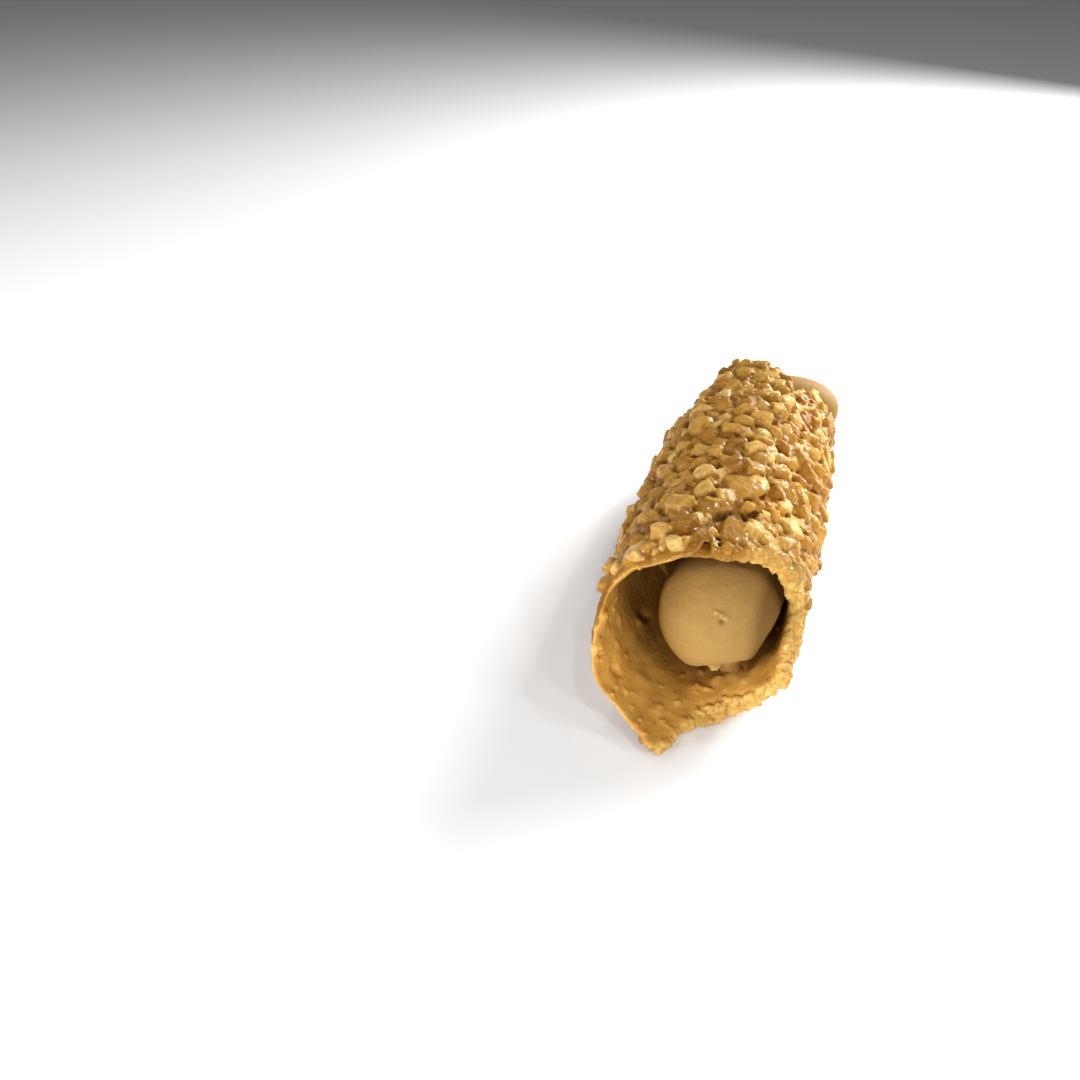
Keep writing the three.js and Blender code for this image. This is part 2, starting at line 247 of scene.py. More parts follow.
def normals(piece):
    return coordinates(piece, "normal")


def set_coordinates(piece, points):
    piece.data.vertices.foreach_set("co", np.asarray(points, float).ravel())
    piece.data.update()


def set_attribute(piece, name, values):
    layers = piece.data.attributes
    layer = layers.get(name) or layers.new(name, "FLOAT", "POINT")
    layer.data.foreach_set("value", np.asarray(values, float))


def edge_ends(piece):
    ends = np.empty(len(piece.data.edges) * 2, int)
    piece.data.edges.foreach_get("vertices", ends)
    return ends.reshape(-1, 2)


def cut_edges(piece, chosen, cuts):
    """Subdivides only the chosen edges of a piece."""
    mesh = piece.data
    mesh.polygons.foreach_set("select", np.zeros(len(mesh.polygons), bool))
    mesh.vertices.foreach_set("select", np.zeros(len(mesh.vertices), bool))
    mesh.edges.foreach_set("select", chosen)
    bpy.context.tool_settings.mesh_select_mode = (False, True, False)
    make_active(piece)
    set_mode("EDIT")
    bpy.ops.mesh.subdivide(number_cuts=cuts)
    set_mode("OBJECT")


def new_piece(name, points, faces):
    """A piece from points in millimetres and their faces."""
    mesh = bpy.data.meshes.new(name)
    mesh.from_pydata((points * MM).tolist(), [], faces)
    piece = bpy.data.objects.new(name, mesh)
    bpy.context.collection.objects.link(piece)
    return piece


def own_copy(piece):
    """A copy of a piece with its own mesh."""
    copy = piece.copy()
    copy.data = piece.data.copy()
    bpy.context.collection.objects.link(copy)
    return copy


def join(piece, *others):
    make_active(piece)
    for other in others:
        other.select_set(True)
    bpy.ops.object.join()


def apply_modifier(piece, kind, **settings):
    modifier = piece.modifiers.new(kind.title(), kind)
    for name, value in settings.items():
        setattr(modifier, name, value)
    make_active(piece)
    bpy.ops.object.modifier_apply(modifier=modifier.name)


def melt(piece, voxel, softening):
    """Makes one skin of all that a piece holds, and smooths it."""
    apply_modifier(piece, "REMESH", mode="VOXEL", voxel_size=voxel * MM)
    apply_modifier(piece, "SMOOTH", factor=0.5, iterations=softening)


def turn_faces_out(piece):
    edit(piece)
    bpy.ops.mesh.normals_make_consistent(inside=False)
    set_mode("OBJECT")


# ---- the pastry sheet ----

def column_angle(share):
    """Angles for columns, packed closer where the edges of the sheet run steeply."""
    angles = np.linspace(LEFT_END, RIGHT_END, 4001)
    across = np.diff(np.radians(angles)) * ARC
    front = np.hypot(across, np.diff(front_edge(angles)))
    back = np.hypot(across, np.diff(back_edge(angles)))
    way = np.concatenate([[0], np.cumsum(front + back)])
    return np.interp(share, way / way[-1], angles)


# Lumps and dents inside the mouth: angle, place, radius and height towards the hollow.
INSIDE_MARKS = [
    (-57, -48, 1.1, -1.5), (-61, -48.6, 0.9, -0.7), (-50, -28.6, 1.6, -1.1),
    (-46, -27.6, 0.9, -0.9), (-52, -31.6, 1.3, 0.7), (-35, -44.2, 2.2, 0.55),
    (-82, -44, 1.2, 0.45), (-74, -38, 1.3, 0.5), (-66, -43, 1.0, 0.4), (-20, -50, 1.6, 0.3),
    (4, -41, 1.4, 0.5), (18, -38, 1.2, 0.6), (30, -36.5, 1.5, 0.5), (-8, -44.5, 1.2, 0.35),
    (-44, -40, 1.0, 0.3), (40, -39, 1.3, 0.5),
]


def sheet_start():
    """A thick sheet in a unit square: across, along and through the sheet."""
    deselect_all()
    bpy.ops.mesh.primitive_grid_add(x_subdivisions=COLUMNS, y_subdivisions=ROWS, size=1)
    sheet = bpy.context.object
    sheet.name = "pastry_sheet"
    edit(sheet)
    bpy.ops.mesh.extrude_region_move(TRANSFORM_OT_translate={"value": (0, 0, -1)})
    set_mode("OBJECT")
    depth = coordinates(sheet)[:, 2][edge_ends(sheet)]
    cut_edges(sheet, np.abs(depth[:, 0] - depth[:, 1]) > 0.5, RIM_ROWS)
    return sheet


def refine_mouth(sheet):
    """Finer faces on the inside that shows in the front mouth."""
    middle = coordinates(sheet)[edge_ends(sheet)].mean(axis=1)
    angle = column_angle(middle[:, 0] + 0.5)
    place = mix(front_edge(angle), back_edge(angle), middle[:, 1] + 0.5)
    shown = (middle[:, 2] < -0.99) & (angle > -112) & (angle < 62) & (place < -24)
    cut_edges(sheet, shown, 1)


def inside_relief(angle, y):
    """Height of the caramel inside, towards the hollow."""
    s = np.radians(angle) * BORE_ARC
    height = -0.25 * np.sin(s * 0.33 + 0.6) * np.sin(y * 0.21 + 0.4 * np.sin(s * 0.2))
    flat = np.stack([s, y, np.zeros_like(s)], axis=-1)
    height += 0.16 * grain(flat, 5.5, 1) + 0.08 * grain(flat, 2.1, 2)
    ridged = np.abs(grain(flat, 1.6, 3))
    drips = smooth(-100, -70, angle) * (1 - smooth(-62, -44, angle)) * smooth(-30, -36, y)
    height += 0.22 * drips * (0.5 - ridged)
    for at, place, radius, lift in INSIDE_MARKS:
        gap = np.hypot(s - math.radians(at) * BORE_ARC, y - place) / radius
        height += lift * np.exp(-(gap**2) * 1.6)
    return height


def edge_wander(angle, seed):
    """Ragged broken edge: fine on the left, coarse on the right."""
    s = np.radians(angle) * ARC
    line = np.stack([s, np.zeros_like(s), np.zeros_like(s)], axis=-1)
    rough = mix(0.18, 0.75, smooth(-24, 0, angle) * (1 - smooth(172, 200, angle)))
    return rough * (0.7 * grain(line, 3.4, seed) + 0.45 * grain(line, 1.5, seed + 1))


def shape_sheet(sheet):
    """Rolls the sheet up, with rounded ragged rims. Returns its angles, places and depths."""
    unit = coordinates(sheet)
    angle = column_angle(unit[:, 0] + 0.5)
    share = unit[:, 1] + 0.5
    depth = np.clip(-unit[:, 2], 0, 1)

    swell = RIM_ROUND * np.sin(np.pi * depth)
    front = mouth_edge(angle) + edge_wander(angle, 11)
    for at, nick, half_width in NICKS:
        front += nick * np.exp(-(((angle - at) / half_width) ** 2))
    back = back_edge(angle) + edge_wander(angle, 17)
    front = front + front_bevel(angle) * (1 - depth) - swell
    back = back - BACK_BEVEL * depth + swell
    place = mix(front, back, share)

    length = np.maximum(back - front, 1)
    to_rim = np.minimum(share, 1 - share) * length
    to_end = np.minimum(angle - LEFT_END, RIGHT_END - angle) * math.radians(1) * ARC
    near_rim = 1 - np.clip(np.minimum(to_rim, to_end) / RIM_REACH, 0, 1)
    rounding = 1 - np.sqrt(1 - near_rim**2)

    flat = np.stack([np.radians(angle) * ARC, place, np.zeros_like(place)], axis=-1)
    outside = CARAMEL_LEVEL + 0.25 * grain(flat, 7, 4) + 0.16 * grain(flat, 2.4, 5)
    by_mouth = smooth(7, 2, place - front)
    outside += LEFT_RAISE * by_mouth * smooth(-128, -112, angle) * (1 - smooth(-66, -48, angle))
    outside += RIGHT_RAISE * by_mouth * smooth(-22, -8, angle) * (1 - smooth(100, 116, angle))
    sunk = SINK * smooth(154, 166, angle) * smooth(12, 7, place - front)
    outside -= sunk
    outside -= 0.55 * rounding
    outside -= SIDE_THINNING * smooth(LEFT_END + 9, LEFT_END, angle)
    inside = -wall_at(angle, place) - inside_relief(angle, place) + 0.5 * rounding - sunk
    thin_lip = smooth(-122, -104, angle) * (1 - smooth(-64, -44, angle))
    inside += LIP_FLARE * thin_lip * smooth(5.5, 0, place - front)
    out = mix(outside, inside, depth)
    set_coordinates(sheet, on_tube(angle, place, out) * MM)
    turn_faces_out(sheet)
    return angle, place, depth


# ---- nuts ----

def cut_nut(seed, cuts, bevel):
    """One chopped nut one unit long: an uneven block or lump, cut and softened."""
    chance = random.Random(seed)
    deselect_all()
    if seed % 5 < 3:
        bpy.ops.mesh.primitive_cube_add(size=1)
    else:
        bpy.ops.mesh.primitive_ico_sphere_add(subdivisions=2, radius=0.6)
    nut = bpy.context.object
    broad, high = chance.uniform(0.66, 0.95), chance.uniform(0.62, 0.86)
    for vertex in nut.data.vertices:
        lump = 0.16 * noise.noise(vertex.co * 2.2 + Vector((seed, 0, 0)))
        vertex.co *= chance.uniform(0.84, 1.08) + lump
        vertex.co.y *= broad
        vertex.co.z *= high
    set_mode("EDIT")
    for _ in range(cuts):
        lean = Vector([chance.gauss(0, 1), chance.gauss(0, 1), chance.gauss(0, 0.8)]).normalized()
        reach = chance.uniform(0.34, 0.46)
        bpy.ops.mesh.select_all(action="SELECT")
        bpy.ops.mesh.bisect(plane_co=lean * reach, plane_no=lean, use_fill=True, clear_outer=True)
    set_mode("OBJECT")
    if bevel:
        apply_modifier(nut, "BEVEL", width=bevel, segments=1, limit_method="ANGLE",
                       angle_limit=math.radians(18), use_clamp_overlap=True)
    points = coordinates(nut)
    points -= (points.min(axis=0) + points.max(axis=0)) / 2
    points /= np.ptp(points[:, 0])
    faces = [list(face.vertices) for face in nut.data.polygons]
    mesh = nut.data
    bpy.data.objects.remove(nut)
    bpy.data.meshes.remove(mesh)
    return points, faces


def frames_at(angle, y):
    """Outward, along and across directions of the coat at a place."""
    here = on_tube(angle, y, 0)
    outward = on_tube(angle, y, 1) - here
    along = on_tube(angle, y + 0.5, 0) - here
    outward /= np.linalg.norm(outward)
    along -= outward * (along @ outward)
    along /= np.linalg.norm(along)
    return outward, along, np.cross(outward, along)


def turned(yaw, pitch, roll):
    cy, sy, cp, sp, cr, sr = (f(v) for v in (yaw, pitch, roll) for f in (math.cos, math.sin))
    about_z = np.array([[cy, -sy, 0], [sy, cy, 0], [0, 0, 1]])
    about_y = np.array([[cp, 0, sp], [0, 1, 0], [-sp, 0, cp]])
    about_x = np.array([[1, 0, 0], [0, cr, -sr], [0, sr, cr]])
    return about_z @ about_y @ about_x


def tossed(chance, tip, even=False):
    """A random turn that tips by about an angle, or evenly up to it."""
    yaw = chance.uniform(0, 6.3)
    tips = [chance.uniform(-tip, tip) if even else chance.gauss(0, tip) for _ in range(2)]
    return turned(yaw, *tips)


class NutBed:
    """Collects nuts that lie in the coat, then makes them one mesh."""

    def __init__(self, kinds):
        self.kinds = kinds
        self.points, self.faces, self.tint = [], [], []
        self.count = 0

    def lay(self, kind, angle, y, size, level, turn, tint, lean=0.0, thin=1.0):
        """Lays a nut with its middle at a level over the surface; lean tips it forward."""
        points, faces = self.kinds[kind % len(self.kinds)]
        outward, along, across = frames_at(angle, y)
        if lean:
            tip = math.cos(lean) * outward - math.sin(lean) * along
            along = math.cos(lean) * along + math.sin(lean) * outward
            outward = tip
        basis = np.stack([along, across, outward])
        local = (points * np.array([1, 1, thin]) * size) @ turn.T
        placed = on_tube(angle, y, level) + local @ basis
        placed[:, 2] = np.maximum(placed[:, 2], 0.02)
        self.points.append(placed)
        self.faces.extend([[self.count + v for v in face] for face in faces])
        self.tint.append(np.full(len(points), tint))
        self.count += len(points)

    def make(self):
        return new_piece("coat_part", np.concatenate(self.points), self.faces)


def covered(angle, y):
    """True where the left flap lies over the right one."""
    reach = 3.2 if angle < 175 else 1.0
    return angle > 360 + LEFT_END - 3 and y > float(front_edge(angle - 360)) - reach


def bare_place(angle, from_edge, size):
    """True where a nut of a size has no place: on the thin left lip, at the rims and the seam."""
    if angle < -183:
        return from_edge < 3.4
    if -128 < angle < -40:
        return from_edge < 2.4 * size + 4
    if -40 <= angle < -22:
        return from_edge < 1.2 * size + 1.5
    if angle <= -130:
        return from_edge < 0.5 * size + 0.5
    if -22 <= angle < 116:
        return from_edge < 3 and size > 2.4
    if angle > 174 and size > 1.7:
        return from_edge < 9
    return angle > 158 and from_edge < 8 and size > 2.2


def paleness(angle, from_edge):
    """How pale the nuts stay: those by the left flap's edge are painted darker, as the shade by
    that edge.
    """
    return FLAP_EDGE_SHADE if angle > 156 and from_edge < 9.5 else 1.0


class Spread:
    """Keeps the places taken on the unrolled coat, so that nuts lie side by side."""

    def __init__(self):
        self.taken = np.empty((0, 3))

    def free(self, s, y, radius, share):
        if not len(self.taken):
            return True
        gap = np.hypot(self.taken[:, 0] - s, self.taken[:, 1] - y)
        return bool(np.all(gap > share * (self.taken[:, 2] + radius)))

    def take(self, s, y, radius):
        self.taken = np.vstack([self.taken, (s, y, radius)])


# Nuts that stand out: angle, place, length, thickness share, turn in degrees, tint, level and,
# for one that tips forward, its lean.
MARKED_NUTS = [
    (-159, -29.9, 6.4, 0.62, 60, 0.80, 0.0),
    (-162, -41.6, 3.0, 0.80, 20, 1.00, 0.0),
    (-138, -40.4, 4.8, 0.50, 75, 1.00, 0.0),
    (-113, -37.5, 3.4, 0.70, 30, 0.80, 0.2),
    (-106, -40.6, 3.0, 0.70, 80, 0.60, 0.1),
    (-121, -40.4, 2.4, 0.70, 10, 1.00, 0.3),
    (-153, 2.5, 6.0, 0.60, 70, 0.70, 0.2),
    (-166, -17.5, 5.4, 0.66, 100, 0.95, 0.1),
    (-168, -9.3, 4.0, 0.65, 60, 0.60, 0.0),
    (-189, -20.0, 8.6, 0.26, 115, 0.45, 0.0),
    (-196, -17.6, 5.0, 0.45, 30, 0.85, 0.1),
    (-193, -9.6, 4.2, 0.80, 0, 0.25, 0.2),
    (-179, 2.8, 5.0, 0.55, 95, 0.60, 0.1),
    (-157, 29.2, 3.6, 0.80, 10, 0.90, 0.2),
    (-165, 36.6, 4.4, 0.80, 40, 0.55, 0.1),
    (152, 23.6, 4.6, 0.60, 20, 0.70, 0.1),
    (-119, -11.2, 5.2, 0.70, 20, 0.55, 0.1),
    (-122, -4.6, 4.6, 0.70, 70, 0.40, 0.1),
    (-113, -21.2, 4.6, 0.75, 40, 0.50, 0.2),
    (145, -17.6, 3.0, 0.85, 10, 0.80, 0.2),
    (136, -21.3, 5.4, 0.55, 40, 0.85, 0.0),
    (169.3, -31.9, 6.6, 0.36, 12, 0.14, -0.7, 0.30),
    (159.5, -30.2, 4.2, 0.60, 0, 0.85, 0.0),
    (181, -34.8, 2.4, 0.80, 50, 0.70, 0.2),
    (-95, -46.4, 4.0, 0.40, 20, 0.60, -3.4),
    (-85, -50.2, 3.4, 0.40, 10, 0.65, -3.4),
]


# Rounds of coarse nuts: shortest, longest, tries and how close they may lie.
ROUNDS = [
    (4.4, 5.2, 240, 0.92), (3.5, 4.4, 1100, 0.92), (2.7, 3.5, 6000, 0.90),
    (1.9, 2.7, 12000, 0.90),
]
# A coarse and a fine nut's radius for its size, and its gap from the front and from the back
# edge, each as a distance and a share of the radius.
COARSE_ROOM = (0.41, (0.2, 0.3), (0, 0.5))
FINE_ROOM = (0.36, (0.1, 0), (0.2, 0))


def free_places(chance, spread, tries, sizes, share, broad, front_gap, back_gap):
    """Where one more nut fits: angle, place, size and distance from the front edge."""
    for _ in range(tries):
        angle = chance.uniform(LEFT_END + 1, RIGHT_END - 2)
        size = chance.uniform(*sizes)
        radius = broad * size
        front = float(mouth_edge(angle) + front_bevel(angle))
        y = chance.uniform(front + front_gap[0] + front_gap[1] * radius,
                           float(back_edge(angle)) - back_gap[0] - back_gap[1] * radius)
        if bare_place(angle, y - front, size) or covered(angle, y):
            continue
        s = math.radians(angle) * ARC
        if spread.free(s, y, radius, share):
            spread.take(s, y, radius)
            yield angle, y, size, y - front


def coat_nuts(kinds, small_kinds):
    """The marked nuts, then coarse and fine ones scattered in what room they leave."""
    chance = random.Random(41)
    coarse, fine = NutBed(kinds), NutBed(small_kinds)
    spread = Spread()
    for number, (angle, y, length, thick, turn, tint, level, *lean) in enumerate(MARKED_NUTS):
        coarse.lay(number * 5, angle, y, length, CARAMEL_LEVEL + 0.9 + 0.5 * level,
                   turned(math.radians(turn), 0.08, 0.05), tint, sum(lean), thick / 0.72)
        spread.take(math.radians(angle) * ARC, y, 0.4 * length)

    for *sizes, tries, share in ROUNDS:
        places = free_places(chance, spread, tries, sizes, share, *COARSE_ROOM)
        for angle, y, size, from_edge in places:
            to_back = float(back_edge(angle)) - y
            stand = chance.uniform(0.0, 0.26) * size
            if -130 < angle < 112 and from_edge < 9:
                stand *= 0.3
            if -22 < angle < 116 and from_edge < 4:
                stand -= 0.12 * size
            if abs(angle + 113) < 29 and to_back < 7:
                stand -= 0.25 * size
            if angle > 105 and to_back < 6:
                stand -= 0.2 * size
            turn = tossed(chance, 0.26)
            kind, tint = chance.randrange(999), chance.random() * paleness(angle, from_edge)
            coarse.lay(kind, angle, y, size, CARAMEL_LEVEL + stand, turn, tint,
                       thin=chance.uniform(0.8, 1.15))
    places = free_places(chance, spread, 15000, (0.9, 2.0), 0.86, *FINE_ROOM)
    for angle, y, size, from_edge in places:
        turn = tossed(chance, 0.5, even=True)
        kind, tint = chance.randrange(999), chance.random() * paleness(angle, from_edge)
        fine.lay(kind, angle, y, size, CARAMEL_LEVEL + 0.2 * size, turn, tint)
    return coarse, fine


def rim_nuts(coarse, fine):
    """Nuts broken through along both rims, seen edge on."""
    chance = random.Random(73)
    for edge, bevel, side in ((mouth_edge, front_bevel, -1), (back_edge, None, 1)):
        angle = LEFT_END + 3.0
        while angle < RIGHT_END - 3:
            thin = side < 0 and -176 < angle < -12
            seam = side < 0 and (angle < -176 or angle > 180)
            wall = float(wall_at(angle, edge(angle)))
            size = chance.uniform(1.0, 1.8) if thin else chance.uniform(1.4, 2.8)
            for near, far in ((0.1, 0.5), (0.5, 0.9)):
                if seam or thin and chance.random() < 0.94:
                    continue
                width = chance.uniform(0.7, 1.0) * size
                depth = chance.uniform(near, max(near + 0.05, min(far, 1 - 0.4 * width / wall)))
                y = float(edge(angle)) + (float(bevel(angle)) * (1 - depth) if bevel else 0)
                y -= side * chance.uniform(-0.15, 0.25) * width
                if covered(angle, y):
                    continue
                bed = coarse if width > 1.9 else fine
                turn = tossed(chance, 0.3)
                bed.lay(chance.randrange(999), angle, y, width, -wall * depth, turn,
                        chance.uniform(0.3, 1) * (paleness(angle, 0) if side < 0 else 1),
                        lean=-side * mix(0.5, 1.5, depth))
            slant = abs(float(edge(angle + 0.5) - edge(angle - 0.5))) / (math.radians(1) * ARC)
            step = chance.uniform(0.45, 0.75) * size * (1.6 if thin else 0.8)
            angle += math.degrees(step / ARC / math.hypot(1, slant))


def inside_crumbs(fine):
    """Small crumbs set in the caramel of the mouth."""
    chance = random.Random(19)
    for _ in range(46):
        angle = chance.uniform(-95, 75)
        y = float(front_edge(angle)) + chance.uniform(1.0, 16)
        size = chance.uniform(0.6, 1.3)
        relief = float(inside_relief(np.array([angle]), np.array([y]))[0])
        level = -float(wall_at(angle, y)) - relief
        turn = tossed(chance, 0.6, even=True)
        fine.lay(chance.randrange(999), angle, y, size, level, turn, chance.uniform(0.1, 0.9))


def fuse_coat(sheet, beds):
    """Melts the sheet and its nuts into one skin, with caramel drawn up between the nuts."""
    coat = own_copy(sheet)
    join(coat, *(bed.make() for bed in beds))
    melt(coat, VOXEL, SOFTENING)
    return coat


def roughen(coat):
    """Fine crumbly relief over the outside and the broken rims, faint inside."""
    points = coordinates(coat) / MM
    depth, broken = np.empty((2, len(points)))
    for name, values in (("depth", depth), ("broken", broken)):
        coat.data.attributes[name].data.foreach_get("value", values)
    share = mix(1 + 0.9 * broken, 0.1, smooth(0.75, 0.95, depth))
    rough = CRUMBLE * grain(points, 1.1, 31, 3) * share
    set_coordinates(coat, (points + normals(coat) * rough[:, None]) * MM)


def cut_in_two(coat):
    """The skin as two closed pieces, which meet across the roll behind the front ball."""
    pieces = []
    for name, keep_front in (("coat_front", True), ("coat_back", False)):
        piece = own_copy(coat)
        piece.name = piece.data.name = name
        edit(piece)
        bpy.ops.mesh.bisect(plane_co=(0, CUT_Y * MM, 0), plane_no=(0, 1, 0), use_fill=True,
                            clear_outer=keep_front, clear_inner=not keep_front)
        set_mode("OBJECT")
        piece.data.calc_loop_triangles()
        triangles = len(piece.data.loop_triangles)
        if triangles > MOST_TRIANGLES:
            apply_modifier(piece, "DECIMATE", ratio=MOST_TRIANGLES / triangles)
        pieces.append(piece)
    bpy.data.objects.remove(coat)
    return pieces


def crest_heights(piece):
    """How far each point of a piece stands out of its surface averaged over two millimetres."""
    softened = own_copy(piece)
    apply_modifier(softened, "SMOOTH", factor=0.5, iterations=30)
    gap = coordinates(piece) - coordinates(softened)
    crest = (gap * normals(softened)).sum(axis=1) / MM
    bpy.data.objects.remove(softened)
    return crest


def sheet_marks(angle, place, depth):
    """How deep in the wall the sheet's points look, and how freshly broken."""
    from_front = place - front_edge(angle)
    bare_side = smooth(-30, -14, angle) * (1 - smooth(112, 130, angle))
    broken = smooth(0.04, 0.2, depth) * (1 - smooth(0.85, 0.98, depth))
    broken *= np.maximum(mix(0.25, 1, bare_side), smooth(-10, 0, place) * 0.7)
    fresh = smooth(-18, 0, angle) * (1 - smooth(150, 162, angle)) * smooth(11, 3, from_front)
    broken = np.maximum(broken, 0.75 * fresh * (1 - smooth(0.5, 0.9, depth)))
    thin_lip = smooth(-172, -160, angle) * (1 - smooth(-40, -22, angle))
    thin_lip = thin_lip * smooth(3, 1.5, from_front)
    return {"depth": mix(depth, smooth(0.0, 0.35, depth), thin_lip), "broken": broken}


def mark_coat(piece, sheet, sheet_values, beds):
    """Writes the sheet's values, the crest and the nearest nut's tint and gap on each point."""
    sheet_tree = BVHTree.FromObject(sheet, bpy.context.evaluated_depsgraph_get())
    corners = [face.vertices[0] for face in sheet.data.polygons]
    nuts = []
    for bed in beds:
        bed_tint = np.concatenate(bed.tint)
        face_tint = [bed_tint[face[0]] for face in bed.faces]
        places = [Vector(p) for p in np.concatenate(bed.points) * MM]
        nuts.append((BVHTree.FromPolygons(places, bed.faces), face_tint))
    points = coordinates(piece)
    nearest, tint, bare = np.full(len(points), -1), np.zeros(len(points)), np.zeros(len(points))
    for i, (point, outward) in enumerate(zip(points, normals(piece))):
        place, normal, face, _ = sheet_tree.find_nearest(point)
        if normal.dot(Vector(outward)) > -0.1:
            nearest[i] = corners[face]
        found = [(*tree.find_nearest(point)[2:], face_tint) for tree, face_tint in nuts]
        face, bare[i], face_tint = min(found, key=lambda hit: hit[1])
        tint[i] = face_tint[face]
    for name, values in sheet_values.items():
        set_attribute(piece, name, np.where(nearest < 0, 0, values[nearest]))
    set_attribute(piece, "tint", tint)
    set_attribute(piece, "bare", bare / MM)
    set_attribute(piece, "crest", crest_heights(piece))


def flatten_caps(piece):
    """Keeps the cut faces flat and their border sharp, so that the skin is smooth up to the cut."""
    faces = piece.data.polygons
    across = [abs(face.normal.y) > 0.99 for face in faces]
    at_cut = [abs(face.center.y - CUT_Y * MM) < 2e-5 for face in faces]
    caps = np.logical_and(across, at_cut)
    faces.foreach_set("use_smooth", ~caps)
    make_active(piece)
    set_mode("EDIT")
    bpy.ops.mesh.select_mode(type="FACE")
    bpy.ops.mesh.select_all(action="DESELECT")
    set_mode("OBJECT")
    faces.foreach_set("select", caps)
    set_mode("EDIT")
    bpy.ops.mesh.region_to_loop()
    bpy.ops.mesh.mark_sharp()
    bpy.ops.mesh.select_mode(type="VERT")
    set_mode("OBJECT")


def hold_in(coat, box):
    """Presses in the nuts that stand proud of the roll's own width, height and length."""
    low, high = (np.array(corner) for corner in box)
    low, high = low - (PROUD * MM, PROUD * MM, 0), high + PROUD * MM
    points = coordinates(coat)
    points = np.where(points < low, low + HELD * (points - low), points)
    points = np.where(points > high, high + HELD * (points - high), points)
    set_coordinates(coat, points)


# Grooves in the coat as lines of points: angle, place, level, depth and how dark its painted shade
# is.
# The first runs under the left flap's edge and on as a crack.
GROOVES = [
    [(-173.5, -43.0, -0.4, 0.4, 0.35), (-176.0, -38.0, -0.4, 0.6, 0.50),
     (-177.8, -34.8, -0.4, 0.8, 0.60), (-181.5, -31.0, -1.2, 1.0, 0.80),
     (-186.0, -27.8, -1.8, 1.6, 1.00), (-192.0, -27.9, -1.8, 1.9, 1.00),
     (-198.0, -28.9, -1.8, 1.6, 1.00)],
    [(160.0, 29.5, -0.6, 1.6, 0.70), (147.5, 30.5, -0.6, 1.6, 0.70)],
    [(136.5, -18.5, -0.6, 1.3, 0.70), (138.5, -18.0, -0.6, 1.3, 0.70)],
    [(136.0, -27.0, -0.6, 1.1, 0.60), (137.5, -27.6, -0.6, 1.1, 0.60)],
]
GROOVE_WIDTH = 0.62


def carve_grooves(coat):
    """Presses the grooves into the skin and paints them dark, as the shade in them."""
    points = coordinates(coat) / MM
    groove, groove_shade = np.zeros(len(points)), np.zeros(len(points))
    for line in GROOVES:
        for start, end in zip(line, line[1:]):
            a, b = on_tube(*start[:3]), on_tube(*end[:3])
            along = np.clip((points - a) @ (b - a) / ((b - a) @ (b - a)), 0, 1)
            near = np.linalg.norm(points - a - along[:, None] * (b - a), axis=1) / GROOVE_WIDTH
            groove = np.maximum(groove, mix(start[3], end[3], along) * np.exp(-(near**2)))
            groove_shade = np.maximum(groove_shade, mix(start[4], end[4], along) * smooth(1.9, 0.9, near))
    inward = -points * (1, 0, 1) + (0, 0, TUBE_RADIUS[0][1])
    inward /= np.linalg.norm(inward, axis=1, keepdims=True)
    set_coordinates(coat, (points + inward * groove[:, None]) * MM)
    # The seam attribute holds the grooves' painted shade.
    set_attribute(coat, "seam", groove_shade)


# ---- the cream ----

def cream_section(y):
    """Centre and radius of the cream at places along the roll."""
    bore = tube_radius(y) - WALL - CREAM_GAP
    to_log = smooth(NECK_FROM, NECK_TO, y)
    before = np.clip((BALL["y"] - y) / BALL["radius"], 0, 1)
    after = np.clip((y - LOG_FROM) / LOG_LENGTH, 0, 1)
    radius = mix(BALL["radius"], bore, to_log) * np.sqrt(1 - before**2) * np.sqrt(1 - after**2)
    return mix(BALL["x"], tube_offset(y), to_log), mix(BALL["z"], tube_height(y), to_log), radius


def unit_ball(segments, rings):
    """A ball of radius one, and its points."""
    deselect_all()
    bpy.ops.mesh.primitive_uv_sphere_add(segments=segments, ring_count=rings, radius=1)
    return bpy.context.object, coordinates(bpy.context.object)


def middle_of(form):
    return np.array([form["x"], form["y"] + CENTRE_Y, form["z"]])


def cream_log():
    """The filling from its front ball to its hidden round end, turned from a sphere."""
    log, unit = unit_ball(112, 150)
    turn = np.linspace(0, math.pi / 2, 200)
    places = np.concatenate([
        BALL["y"] - BALL["radius"] * np.cos(turn), np.linspace(BALL["y"], LOG_FROM, 400)[1:],
        LOG_FROM + LOG_LENGTH * np.sin(turn)[1:],
    ])
    x, z, radius = cream_section(places)
    way = np.concatenate([[0], np.cumsum(np.hypot(np.diff(places), np.diff(radius)))])
    share = np.arccos(np.clip(unit[:, 2], -1, 1)) / math.pi
    y = np.interp(share, way / way[-1], places)
    x, z, radius = cream_section(y)
    around = np.arctan2(unit[:, 1], unit[:, 0])
    set_coordinates(log, np.stack([
        x + radius * np.cos(around), y + CENTRE_Y, z + radius * np.sin(around)], axis=-1) * MM)
    return log


def cream_bulge():
    """The cream that swells over the edge at the back, squarer than an egg."""
    bulge, unit = unit_ball(64, 40)
    squared = np.sign(unit) * np.abs(unit) ** 0.82
    squared /= np.maximum(np.linalg.norm(squared, axis=1, keepdims=True), 1e-6) ** 0.5
    half = np.array(BULGE["half"])
    set_coordinates(bulge, (middle_of(BULGE) + squared * half * 0.98) * MM)
    return bulge


# Flats pressed on the front ball: direction and distance from its middle.
PRESSED = [((0.939, -0.163, -0.277), 9.9), ((0.350, -0.591, -0.720), 9.8)]
PRESS_EDGE = 0.9
# Marks on the front ball: direction from its middle, radius and height.
CREAM_MARKS = [
    ((0.135, -0.829, 0.540), 0.6, -1.0),
    ((-0.214, -0.570, 0.793), 0.5, 0.22), ((0.067, -0.437, 0.897), 0.4, 0.15),
    ((-0.35, -0.82, 0.45), 0.8, 0.1), ((0.336, -0.903, 0.267), 1.6, 0.15),
]
